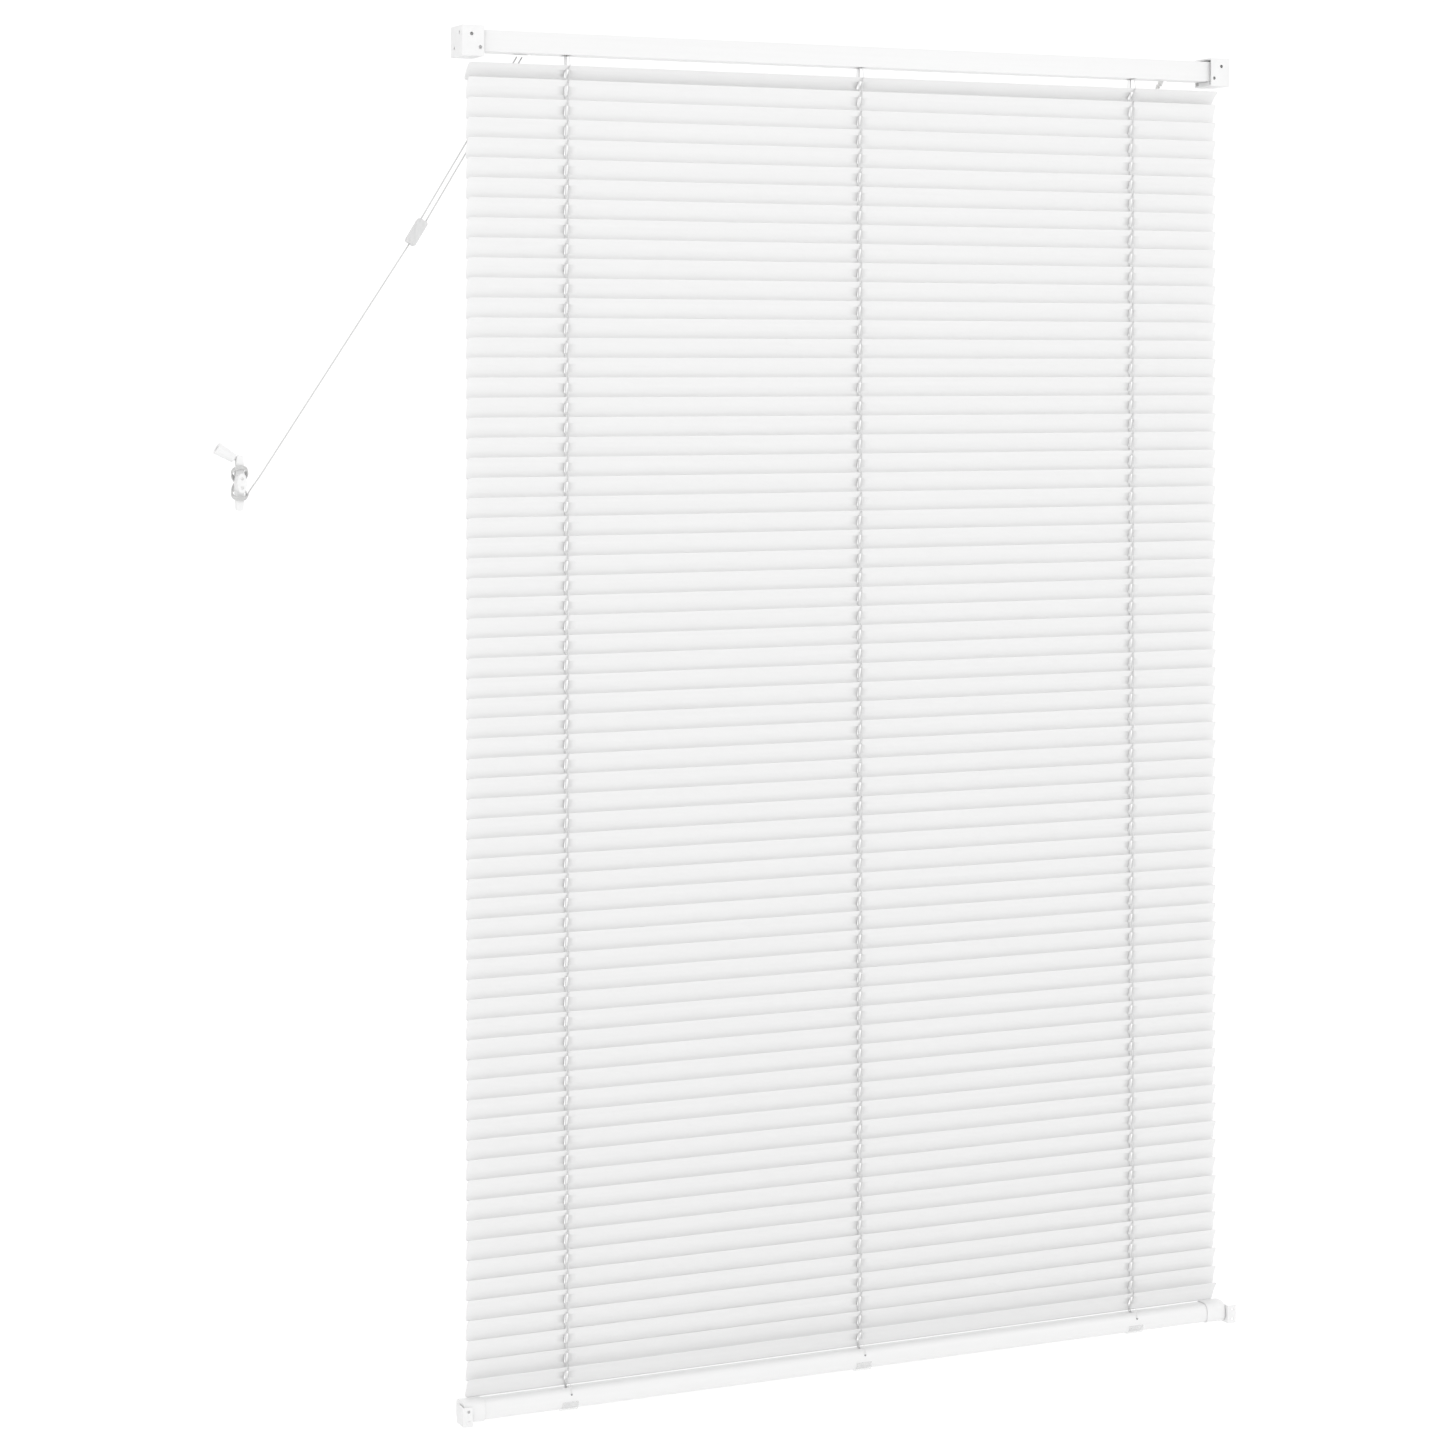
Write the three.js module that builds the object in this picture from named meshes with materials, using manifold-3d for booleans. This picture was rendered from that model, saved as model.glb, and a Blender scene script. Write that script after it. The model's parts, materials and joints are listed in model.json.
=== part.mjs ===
// A venetian blind with 27 mm aluminium slats, closed, in box brackets, with its pull cord on a cleat.
// Millimetres. +X is along the headrail, +Y runs from the wall into the room, +Z is up.
// The origin is at mid-width, in the wall plane, at the top of the box brackets.
import * as THREE from 'three';
import { mergeVertices } from 'three/addons/utils/BufferGeometryUtils.js';
import Module from 'manifold-3d';

const wasm = await Module();
wasm.setup();

// ---- driving dimensions ----
const gap = 0.3;
const slatLength = 1000;
const slatWidth = 27;
const slatCrown = 1.7;
const slatThickness = 0.3;
const slatPitch = 22.9;
const closedTilt = 72;
const topSlatTilt = 45;
const bottomSlatTilt = 62;
const bottomSlatRise = 2.2;
const blindY = 18;
const secondSlatTop = -57;
const topSlatZ = -50;
const groupFirstSlat = [2, 8, 14, 20, 26, 33, 40, 47, 54, 61];
const lastSlat = 67;

const ladderX = [-378, 0, 378];
const ladderNames = ['left', 'centre', 'right'];
const nearStringY = 11.5;
const farStringY = 21.2;
const stringThickness = 1;
const liftCordY = 18.4;
const liftCordDiameter = 1.4;
const routeSlot = { width: 4.5, length: 11 };

const rail = { halfLength: 505.5, y0: 4.5, y1: 31.5, top: -4.5, bottom: -29, wall: 0.9, lip: 4 };
const bracket = { outer: 511.5, inner: 485, depth: 37, height: 35, wall: 2 };
const doorThickness = 2;
const rod = { y: 18, z: -13.5, acrossFlats: 6, x0: -392, x1: 449 };
const drumRadius = 7.5;
const cordLockX = -429;
const tilterX = 432;

const bottomRail = { halfLength: 488, top: -1569, height: 23, depth: 26, wall: 1.1 };
const railCap = { outer: 507.5, wrap: 6, grow: 1 };
const holdDown = { sideX: 509, width: 12, top: -1572, height: 22, wall: 1.3, reach: 22 };

const cordDiameter = 1.6;
const connectorSize = { length: 32, width: 12.6, depth: 7, corner: 2.6 };
const cleat = { x: -768.3, z: -518, height: 62, barWidth: 11, barY0: 9, barY1: 15 };
const tassel = { length: 23, smallRadius: 5, bigRadius: 7 };

// ---- finishes ----
const finish = (color, roughness, metalness = 0) =>
  new THREE.MeshStandardMaterial({ color, roughness, metalness });
const slatEnamel = finish(0xeeeeec, 0.42);
const railEnamel = finish(0xf3f3f1, 0.4);
const bracketPlastic = finish(0xf1f1ef, 0.5);
const mechanismPlastic = finish(0xe9e8e2, 0.55);
const clearPlastic = finish(0xdfe3e4, 0.15);
const cordWhite = finish(0xe2e2de, 0.85);
const steel = finish(0xb9bcbf, 0.35, 0.9);

const blind = new THREE.Group();
blind.name = 'venetian_blind';

// ---- shape helpers ----
const degrees = THREE.MathUtils.degToRad;
const at = (x, y, z) => new THREE.Vector3(x, y, z);

function solidOf(geometry) {
  const bare = geometry.clone();
  bare.deleteAttribute('normal');
  bare.deleteAttribute('uv');
  const merged = mergeVertices(bare, 1e-4);
  const vertProperties = new Float32Array(merged.attributes.position.array);
  const triVerts = new Uint32Array(merged.index.array);
  return new wasm.Manifold(new wasm.Mesh({ numProp: 3, vertProperties, triVerts }));
}

function geometryOf(solid) {
  const mesh = solid.getMesh();
  const geometry = new THREE.BufferGeometry();
  geometry.setAttribute('position', new THREE.BufferAttribute(mesh.vertProperties, 3));
  geometry.setIndex(new THREE.BufferAttribute(mesh.triVerts, 1));
  return geometry;
}

function add(name, solid, material) {
  const mesh = new THREE.Mesh(geometryOf(solid), material);
  mesh.name = name;
  blind.add(mesh);
}

const join = (solids) => solids.reduce((whole, solid) => whole.add(solid));
const cut = (solid, tools) => tools.reduce((rest, tool) => rest.subtract(tool), solid);

function block(x0, x1, y0, y1, z0, z1) {
  const box = new THREE.BoxGeometry(Math.abs(x1 - x0), Math.abs(y1 - y0), Math.abs(z1 - z0));
  box.translate((x0 + x1) / 2, (y0 + y1) / 2, (z0 + z1) / 2);
  return solidOf(box);
}

// An outline of [y, z] points extruded along X.
function prismAlongX(outline, x0, x1) {
  const shape = new THREE.Shape(outline.map(([y, z]) => new THREE.Vector2(y, z)));
  const geometry = new THREE.ExtrudeGeometry(shape, { depth: x1 - x0, bevelEnabled: false });
  geometry.applyMatrix4(new THREE.Matrix4().makeBasis(at(0, 1, 0), at(0, 0, 1), at(1, 0, 0)));
  geometry.translate(x0, 0, 0);
  return solidOf(geometry);
}

// A cylinder or cone from one point to another.
function rodBetween(from, to, radius, sides = 16, endRadius = radius) {
  const span = to.clone().sub(from);
  const geometry = new THREE.CylinderGeometry(endRadius, radius, span.length(), sides);
  const turn = new THREE.Quaternion().setFromUnitVectors(at(0, 1, 0), span.clone().normalize());
  geometry.applyQuaternion(turn);
  geometry.translate((from.x + to.x) / 2, (from.y + to.y) / 2, (from.z + to.z) / 2);
  return solidOf(geometry);
}

// A round cord along hand-chosen points.
function cordAlong(points, diameter, steps) {
  const section = new THREE.Shape();
  for (let i = 0; i < 8; i += 1) {
    const angle = (i * Math.PI) / 4;
    const x = (diameter / 2) * Math.cos(angle);
    const y = (diameter / 2) * Math.sin(angle);
    if (i === 0) section.moveTo(x, y);
    else section.lineTo(x, y);
  }
  const isCurved = points.length > 2;
  const extrudePath = isCurved ? new THREE.CatmullRomCurve3(points) : new THREE.LineCurve3(...points);
  return solidOf(new THREE.ExtrudeGeometry(section, { steps, extrudePath, bevelEnabled: false }));
}

// The outline of an oval, as [y, z] points.
function oval(y, z, halfDepth, halfHeight, sides, power = 0.6) {
  const points = [];
  for (let i = 0; i < sides; i += 1) {
    const angle = ((i + 0.5) * 2 * Math.PI) / sides;
    const c = Math.cos(angle);
    const s = Math.sin(angle);
    points.push([
      y + halfDepth * Math.sign(c) * Math.abs(c) ** power,
      z + halfHeight * Math.sign(s) * Math.abs(s) ** power,
    ]);
  }
  return points;
}

// ---- slats ----
// s runs across the slat from its wall-side edge to its room-side edge, h is the height of the crown.
function slatFrame(number) {
  const tilts = { 1: topSlatTilt, [lastSlat]: bottomSlatTilt };
  const tilt = degrees(tilts[number] ?? closedTilt);
  const nearEdgeRise = (slatWidth / 2) * Math.sin(tilt);
  const topEdge = secondSlatTop - slatPitch * (number - 2);
  const rise = number === lastSlat ? bottomSlatRise : 0;
  const z = number === 1 ? topSlatZ : topEdge - nearEdgeRise + rise;
  return (s, h) => [
    blindY + s * Math.cos(tilt) + h * Math.sin(tilt),
    z - s * Math.sin(tilt) + h * Math.cos(tilt),
  ];
}

const crownStations = [-slatWidth / 2, -6, 6, slatWidth / 2];
const crownDrop = slatCrown * 0.6;
const crownHeights = [-crownDrop, slatCrown - crownDrop, slatCrown - crownDrop, -crownDrop];

function slat(number) {
  const place = slatFrame(number);
  const half = slatThickness / 2;
  const upper = crownStations.map((s, i) => place(s, crownHeights[i] + half));
  const lower = crownStations.map((s, i) => place(s, crownHeights[i] - half));
  const sheet = prismAlongX([...lower, ...upper.reverse()], -slatLength / 2, slatLength / 2);
  const reach = routeSlot.length / 2;
  const slotOutline = [[-reach, -3], [reach, -3], [reach, 3], [-reach, 3]].map(([s, h]) => place(s, h));
  const halfSlot = routeSlot.width / 2;
  const slots = ladderX.map((x) => prismAlongX(slotOutline, x - halfSlot, x + halfSlot));
  return cut(sheet, slots);
}

const groupLastSlat = (group) => (groupFirstSlat[group + 1] ?? lastSlat + 1) - 1;
const twoDigits = (number) => String(number).padStart(2, '0');
const halfString = stringThickness / 2;

function verticalString(x, y, zTop, zBottom) {
  return block(x - halfString, x + halfString, y - halfString, y + halfString, zBottom, zTop);
}

// A string that leans from one [y, z] point to another.
function leaningString(x, [yTop, zTop], [yBottom, zBottom]) {
  const outline = [
    [yBottom - halfString, zBottom],
    [yBottom + halfString, zBottom],
    [yTop + halfString, zTop],
    [yTop - halfString, zTop],
  ];
  return prismAlongX(outline, x - halfString, x + halfString);
}

// Each group of slats hangs from the centre ladder's far string. Its near string is a node of its own.
const centreX = ladderX[1];
groupFirstSlat.forEach((firstSlat, group) => {
  const label = twoDigits(group + 1);
  const numbers = [];
  for (let number = group === 0 ? 1 : firstSlat; number <= groupLastSlat(group); number += 1) {
    numbers.push(number);
  }
  const farTop = slatFrame(firstSlat)(slatWidth / 2, -crownDrop)[1] + slatPitch / 2 - gap / 2;
  const farBottom = slatFrame(groupLastSlat(group))(slatWidth / 2, -crownDrop)[1];
  const isBottomGroup = group === groupFirstSlat.length - 1;
  const webBottom = isBottomGroup ? farBottom - 0.5 : farBottom - slatPitch / 2 + gap / 2;
  const strings = [];
  if (group === 0) {
    const topSlatEdge = slatFrame(1)(slatWidth / 2 - 0.3, -crownDrop);
    const headrailExit = [24, rail.bottom - gap];
    strings.push(leaningString(centreX, headrailExit, [topSlatEdge[0], topSlatEdge[1] - 0.4]));
    strings.push(leaningString(centreX, [topSlatEdge[0], topSlatEdge[1] + 0.4], [farStringY, farTop - 5]));
    strings.push(verticalString(centreX, farStringY, farTop - 4.9, webBottom));
  } else if (isBottomGroup) {
    const lastEdge = slatFrame(lastSlat)(slatWidth / 2 - 0.3, -crownDrop);
    const bend = lastEdge[1] + slatPitch;
    strings.push(verticalString(centreX, farStringY, farTop, bend));
    strings.push(leaningString(centreX, [farStringY, bend + 0.1], [lastEdge[0], lastEdge[1] - 0.4]));
  } else {
    strings.push(verticalString(centreX, farStringY, farTop, webBottom));
  }
  add(`slats_${label}`, join([...numbers.map(slat), ...strings]), slatEnamel);

  const nearTop = slatFrame(firstSlat)(-slatWidth / 2, -crownDrop)[1] + slatPitch / 2 - gap / 2;
  const nearEdgeZ = slatFrame(groupLastSlat(group))(-slatWidth / 2, -crownDrop)[1];
  const nearBottom = isBottomGroup ? nearEdgeZ + 2 : nearEdgeZ - slatPitch / 2 + gap / 2;
  const nearSolids = [verticalString(centreX, nearStringY, group === 0 ? -60 : nearTop, nearBottom)];
  if (group === 0) {
    const topSlatNear = slatFrame(1)(-slatWidth / 2, -crownDrop);
    const outside = [topSlatNear[0] - 1.2, topSlatNear[1]];
    nearSolids.push(leaningString(centreX, [10.5, rail.bottom - gap], [outside[0], outside[1] - 0.1]));
    nearSolids.push(leaningString(centreX, outside, [nearStringY, -60.1]));
  }
  add(`near_string_${label}`, join(nearSolids), cordWhite);
});

// ---- headrail ----
const stringOpenings = ladderX.map((x) => block(x - 5, x + 5, 8.5, 27.5, rail.bottom - 1, rail.bottom + 3));
const channel = [
  [rail.y0, rail.top],
  [rail.y0, rail.bottom],
  [rail.y1, rail.bottom],
  [rail.y1, rail.top],
  [rail.y1 - rail.lip, rail.top],
  [rail.y1 - rail.lip, rail.top - rail.wall],
  [rail.y1 - rail.wall, rail.top - rail.wall],
  [rail.y1 - rail.wall, rail.bottom + rail.wall],
  [rail.y0 + rail.wall, rail.bottom + rail.wall],
  [rail.y0 + rail.wall, rail.top - rail.wall],
  [rail.y0 + rail.lip, rail.top - rail.wall],
  [rail.y0 + rail.lip, rail.top],
];
const cordExit = block(cordLockX - 12, cordLockX + 12, 22, 40, rail.bottom - 1, rail.bottom + 7);
const stemExit = block(tilterX - 7, tilterX + 7, 24, 40, rail.bottom - 1, rail.bottom + 9);
const headrail = prismAlongX(channel, -rail.halfLength, rail.halfLength);
add('headrail', cut(headrail, [...stringOpenings, cordExit, stemExit]), railEnamel);

const insideY = [rail.y0 + rail.wall + gap, rail.y1 - rail.wall - gap];
const insideFloor = rail.bottom + rail.wall + gap;
const insideTop = rail.top - rail.wall - gap;

// ---- end caps, box brackets and doors, one set at each end ----
for (const [side, sign] of [['left', -1], ['right', 1]]) {
  const plate = block(
    sign * (rail.halfLength + gap), sign * (rail.halfLength + 2.5), rail.y0, rail.y1, rail.bottom, rail.top,
  );
  const plug = block(
    sign * (rail.halfLength - 8), sign * (rail.halfLength + 1), ...insideY, insideFloor, insideTop,
  );
  const recess = block(
    sign * (rail.halfLength - 9), sign * (rail.halfLength - 1),
    insideY[0] + 2, insideY[1] - 2, insideFloor + 2, 0,
  );
  add(`headrail_end_cap_${side}`, cut(join([plate, plug]), [recess]), mechanismPlastic);

  const outer = sign * bracket.outer;
  const inner = sign * bracket.inner;
  const inward = (distance) => outer - sign * distance;
  const walls = block(outer, inner, 0, bracket.depth, -bracket.height, 0);
  const hollow = block(
    inward(bracket.wall), inner - sign, bracket.wall, bracket.depth + 1,
    bracket.wall - bracket.height, -bracket.wall,
  );
  const shelf = block(inward(4), inward(26), 6, 30, bracket.wall - bracket.height - 1, rail.bottom - gap);
  const hole = (x, z) => rodBetween(at(x, -1, z), at(x, bracket.wall + 1, z), 2.2, 10);
  const endHole = (y, z) => rodBetween(at(outer - 3, y, z), at(outer + 3, y, z), 2.2, 10);
  const holes = [hole(inward(11.5), -10), hole(inward(22), -25), endHole(10, -8), endHole(28, -25)];
  add(`box_bracket_${side}`, cut(join([cut(walls, [hollow]), shelf]), holes), bracketPlastic);

  const doorY = bracket.depth + gap;
  const panel = block(outer, inner, doorY, doorY + doorThickness, -bracket.height, -1);
  const grip = block(
    inward(9), inward(17), doorY + doorThickness - 0.5, doorY + 4, -bracket.height, 4 - bracket.height,
  );
  const knuckle = rodBetween(at(outer, doorY + 1, -1), at(inner, doorY + 1, -1), 1, 12);
  const tongue = block(
    inward(4), inward(22), bracket.depth - 3, doorY + 0.5, bracket.wall - bracket.height + gap,
    bracket.wall - bracket.height + gap + 1.5,
  );
  add(`bracket_door_${side}`, join([panel, grip, knuckle, tongue]), bracketPlastic);
}

// ---- tilt rod, drums and cradles ----
function hexagonAlongX(x0, x1, acrossFlats) {
  const points = [];
  for (let i = 0; i < 6; i += 1) {
    const angle = degrees(60 * i + 30);
    const radius = acrossFlats / 2 / Math.cos(degrees(30));
    points.push([rod.y + radius * Math.cos(angle), rod.z + radius * Math.sin(angle)]);
  }
  return prismAlongX(points, x0, x1);
}

add('tilt_rod', hexagonAlongX(rod.x0, rod.x1, rod.acrossFlats), steel);

ladderX.forEach((x, i) => {
  const onRod = (offset) => at(x + offset, rod.y, rod.z);
  const spool = (x0, x1, radius) => rodBetween(onRod(x0), onRod(x1), radius, 12);
  const drum = join([spool(-6, 6, 6), spool(-6, -4.4, drumRadius), spool(4.4, 6, drumRadius)]);
  const bore = hexagonAlongX(x - 7, x + 7, rod.acrossFlats + 2 * gap);
  add(`ladder_drum_${ladderNames[i]}`, cut(drum, [bore]), mechanismPlastic);

  const base = block(x - 11, x + 11, ...insideY, insideFloor, insideFloor + 1.8);
  const ears = [-9, 7.2].map((offset) => block(x + offset, x + offset + 1.8, 9, 27, insideFloor, -8));
  const slot = block(x - 5, x + 5, 9, 27, insideFloor - 1, insideFloor + 3);
  const bearing = rodBetween(onRod(-12), onRod(12), 3.9, 12);
  add(`ladder_cradle_${ladderNames[i]}`, cut(join([base, ...ears]), [slot, bearing]), mechanismPlastic);
});

// ---- tilter: a worm on the stem drives a gear on the rod ----
const stemDirection = at(0, 0.68, -0.733).normalize();
const stemTop = at(tilterX, 22, -15.5);
const stemLength = 24;
const alongStem = (distance) => stemTop.clone().addScaledVector(stemDirection, distance);

const housingWalls = block(tilterX - 13, tilterX + 13, ...insideY, insideFloor, insideTop - 0.5);
const housingRoom = block(tilterX - 10.5, tilterX + 10.5, insideY[0] + 2, insideY[1] + 2, insideFloor + 2, 0);
const rodPassage = rodBetween(at(tilterX - 15, rod.y, rod.z), at(tilterX + 15, rod.y, rod.z), 3.9, 12);
const stemPassage = rodBetween(alongStem(0), alongStem(40), 4, 16);
add('tilter_housing', cut(housingWalls, [housingRoom, rodPassage, stemPassage]), mechanismPlastic);

const gearBlank = [];
const gearTeeth = 12;
for (let tooth = 0; tooth < gearTeeth; tooth += 1) {
  for (const [share, radius] of [[0, 4.6], [0.25, 5.6], [0.5, 5.6], [0.75, 4.6]]) {
    const angle = ((tooth + share) * 2 * Math.PI) / gearTeeth;
    gearBlank.push([rod.y + radius * Math.cos(angle), rod.z + radius * Math.sin(angle)]);
  }
}
const gearBore = hexagonAlongX(tilterX - 11, tilterX - 4, rod.acrossFlats + 2 * gap);
add('worm_gear', cut(prismAlongX(gearBlank, tilterX - 9.5, tilterX - 5.5), [gearBore]), mechanismPlastic);

const neckHalf = 2.7;
const neckCentre = alongStem(stemLength);
const stem = join([
  rodBetween(alongStem(1.5), alongStem(8), 2.6, 12),
  rodBetween(alongStem(7.5), alongStem(stemLength - neckHalf), 3.2, 12),
  rodBetween(alongStem(stemLength - neckHalf - 0.5), alongStem(stemLength + neckHalf + 0.5), 1, 12),
  rodBetween(alongStem(stemLength + neckHalf), alongStem(stemLength + neckHalf + 1.6), 2.2, 12),
]);
add('tilter_stem', stem, mechanismPlastic);

// ---- wand and its hook: a ring round the stem's neck, which turns inside it ----
const pivot = neckCentre;
const hookRadius = 1;
const ringRadius = 2.8;
const hookWire = [
  at(tilterX - ringRadius, pivot.y, pivot.z),
  at(tilterX - 4.1, pivot.y + 0.1, pivot.z - 3),
  at(tilterX - 3.9, pivot.y + 0.3, pivot.z - 7),
  at(tilterX - 1, pivot.y + 0.6, pivot.z - 10.5),
  at(tilterX, pivot.y + 0.6, pivot.z - 14),
];
const ringNormal = stemDirection.clone().applyAxisAngle(at(1, 0, 0), degrees(-30));
const hookRing = new THREE.TorusGeometry(ringRadius, hookRadius, 6, 16);
hookRing.applyQuaternion(new THREE.Quaternion().setFromUnitVectors(at(0, 0, 1), ringNormal));
hookRing.translate(pivot.x, pivot.y, pivot.z);
const collarTop = pivot.z - 12.5;
const wandY = pivot.y + 0.6;
const collar = rodBetween(at(tilterX, wandY, collarTop), at(tilterX, wandY, collarTop - 4), 3, 16);
const hookShank = cordAlong(hookWire, 2 * hookRadius, 14);
add('wand_hook', join([solidOf(hookRing), hookShank, collar]), mechanismPlastic);

const wandTop = collarTop - 4 - gap;
const wandLength = 600;
const wandBar = rodBetween(at(tilterX, wandY, wandTop), at(tilterX, wandY, wandTop - wandLength), 4, 6);
add('wand', wandBar, clearPlastic);
const onWand = (z) => at(tilterX, wandY, z);
const wandBottom = wandTop - wandLength;
const gripTop = wandBottom + 55;
const gripTube = rodBetween(onWand(gripTop), onWand(wandBottom - 3), 6, 16, 5.2);
const gripBore = rodBetween(onWand(gripTop + 1), onWand(wandBottom - gap), 4.3, 16);
add('wand_grip', cut(gripTube, [gripBore]), mechanismPlastic);

// ---- cord lock ----
const lockOuter = block(cordLockX - 20, cordLockX + 20, ...insideY, insideFloor, -12);
const lockRoom = block(
  cordLockX - 11.5, cordLockX + 11.5, insideY[0] + 3, insideY[1] + 2, insideFloor - 1, 0,
);
const lockTunnel = block(cordLockX - 25, cordLockX + 25, 14, 22, insideFloor + 4, -15);
const lockSlot = prismAlongX(
  [[20, -22], [23.4, -22], [26.4, -15.4], [23, -15.4]], cordLockX - 14.5, cordLockX + 14.5,
);
const lockNose = join([
  block(cordLockX - 11, cordLockX - 8.5, 28, 37.5, rail.bottom + 0.6, rail.bottom + 6.5),
  block(cordLockX + 8.5, cordLockX + 11, 28, 37.5, rail.bottom + 0.6, rail.bottom + 6.5),
  block(cordLockX - 11, cordLockX + 11, 36.3, 38.8, rail.bottom + 0.6, rail.bottom + 6.5),
]);
const lockCheeks = join([
  block(cordLockX - 12.5, cordLockX - 8.5, 26, 29.2, rail.bottom + 1.3, -16),
  block(cordLockX + 8.5, cordLockX + 12.5, 26, 29.2, rail.bottom + 1.3, -16),
]);
const lockHousing = join([cut(lockOuter, [lockRoom, lockTunnel]), lockNose, lockCheeks]);
add('cord_lock_housing', cut(lockHousing, [lockSlot]), mechanismPlastic);
const rollerAt = (x) => at(cordLockX + x, 22.1, -20.6);
add('cord_lock_roller', join([
  rodBetween(rollerAt(-7.5), rollerAt(7.5), 2.4, 16),
  rodBetween(rollerAt(-14), rollerAt(14), 1.1, 10),
]), steel);

// ---- bottom rail ----
const bottomRailZ = bottomRail.top - bottomRail.height / 2;
const railHalf = [bottomRail.depth / 2, bottomRail.height / 2];
const railOutline = oval(blindY, bottomRailZ, ...railHalf, 24);
const railHollow = railHalf.map((half) => half - bottomRail.wall);
const railInside = oval(blindY, bottomRailZ, ...railHollow, 24);
const railShell = cut(prismAlongX(railOutline, -bottomRail.halfLength, bottomRail.halfLength), [
  prismAlongX(railInside, -bottomRail.halfLength - 1, bottomRail.halfLength + 1),
]);
const cordHoles = ladderX.map((x) =>
  rodBetween(at(x, liftCordY, bottomRail.top - 4), at(x, liftCordY, bottomRail.top + 1), 2, 10));
const clipRecess = (x, grow) =>
  prismAlongX(oval(blindY, bottomRailZ, railHalf[0] + 3, railHalf[1] + 3, 24), x - 10 - grow, x + 10 + grow);
add('bottom_rail', cut(railShell, cordHoles), railEnamel);

const holdDownPinZ = bottomRailZ - 3;
for (const [side, sign] of [['left', -1], ['right', 1]]) {
  const grown = railHalf.map((half) => half + railCap.grow);
  const skirt = prismAlongX(
    oval(blindY, bottomRailZ, ...grown, 24),
    Math.min(sign * (bottomRail.halfLength - railCap.wrap), sign * railCap.outer),
    Math.max(sign * (bottomRail.halfLength - railCap.wrap), sign * railCap.outer),
  );
  const socket = prismAlongX(
    oval(blindY, bottomRailZ, railHalf[0] + gap, railHalf[1] + gap, 24),
    Math.min(sign * (bottomRail.halfLength - railCap.wrap - 1), sign * (bottomRail.halfLength + gap)),
    Math.max(sign * (bottomRail.halfLength - railCap.wrap - 1), sign * (bottomRail.halfLength + gap)),
  );
  const notch = block(
    sign * (bottomRail.halfLength + 4), sign * (railCap.outer + 1), blindY - 3, blindY + 3,
    bottomRailZ - 20, holdDownPinZ + 3,
  );
  add(`rail_end_cap_${side}`, cut(skirt, [socket, notch]), bracketPlastic);
}

ladderX.forEach((x, i) => {
  const saddle = cut(clipRecess(x, 0), [
    prismAlongX(oval(blindY, bottomRailZ, railHalf[0] + gap, railHalf[1] + gap, 24), x - 12, x + 12),
    block(x - 12, x + 12, 0, 40, bottomRailZ - 2, bottomRail.top + 10),
  ]);
  const slimOutline = oval(blindY, bottomRailZ, railHalf[0] + 1.8, railHalf[1] + 1.8, 24);
  const slim = prismAlongX(slimOutline, x - 10, x + 10);
  add(`ladder_clip_${ladderNames[i]}`, saddle.intersect(slim), clearPlastic);
});

// Both hold-down brackets are the same part, with the screw plate turned towards +X.
for (const [side, sign] of [['left', -1], ['right', 1]]) {
  const sideX = sign > 0 ? holdDown.sideX : -holdDown.sideX - holdDown.wall;
  const low = holdDown.top - holdDown.height;
  const screwPlate = block(sideX, sideX + holdDown.width, 0, holdDown.wall, low, holdDown.top);
  const arm = block(sideX, sideX + holdDown.wall, 0, holdDown.reach, low, holdDown.top);
  const faceX = sign > 0 ? sideX : sideX + holdDown.wall;
  const pin = rodBetween(
    at(faceX + sign * 0.5, blindY, holdDownPinZ), at(faceX - sign * 8, blindY, holdDownPinZ), 2, 14,
  );
  const screwHoles = [-6, 6].map((dz) => {
    const z = holdDown.top - holdDown.height / 2 + dz;
    const x = sideX + holdDown.width / 2 + 1;
    return rodBetween(at(x, -1, z), at(x, 3, z), 1.8, 12);
  });
  add(`hold_down_bracket_${side}`, cut(join([screwPlate, arm, pin]), screwHoles), bracketPlastic);
}

// ---- lift cords ----
ladderX.forEach((x, i) => {
  const top = at(x, liftCordY, rail.bottom - gap);
  const bottom = at(x, liftCordY, bottomRail.top + gap);
  add(`lift_cord_${ladderNames[i]}`, cordAlong([top, bottom], liftCordDiameter, 1), cordWhite);
});

// ---- pull cords, connector, tail cord, cleat and tassel ----
const connectorTop = at(-547.6, 31, -222);
const connectorEnd = at(-566.4, 30, -252);
const connectorAxis = connectorEnd.clone().sub(connectorTop).normalize();
const cordEnds = [
  ['pull_cord_a', at(-432.6, 35, rail.bottom - 2), at(-550.2, 31, -220.3)],
  ['pull_cord_b', at(-426, 35, rail.bottom - 2), at(-544.6, 31, -223.4)],
];
for (const [name, exit, end] of cordEnds) {
  const stop = end.clone().addScaledVector(exit.clone().sub(end).normalize(), gap);
  add(name, cordAlong([exit, stop], cordDiameter, 14), cordWhite);
}

const across = at(0, 1, 0).cross(connectorAxis).normalize();
const onConnector = (side, along, depth) => connectorTop.clone()
  .addScaledVector(connectorAxis, along)
  .addScaledVector(across, side)
  .add(at(0, depth, 0));
function connectorSolid() {
  const radius = connectorSize.corner;
  const side = connectorSize.width / 2 - radius;
  const end = connectorSize.length - radius;
  const quarter = Math.PI / 2;
  const shape = new THREE.Shape();
  shape.absarc(-side, radius, radius, 2 * quarter, 3 * quarter, false);
  shape.absarc(side, radius, radius, 3 * quarter, 4 * quarter, false);
  shape.absarc(side, end, radius, 0, quarter, false);
  shape.absarc(-side, end, radius, quarter, 2 * quarter, false);
  const geometry = new THREE.ExtrudeGeometry(shape, {
    depth: connectorSize.depth, bevelEnabled: false, curveSegments: 5,
  });
  const out = connectorAxis.clone().cross(across).normalize().negate();
  geometry.translate(0, 0, -connectorSize.depth / 2);
  geometry.applyMatrix4(new THREE.Matrix4().makeBasis(across, connectorAxis, out));
  geometry.translate(connectorTop.x, connectorTop.y, connectorTop.z);
  return geometry;
}
add('cord_connector', solidOf(connectorSolid()), clearPlastic);

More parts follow.
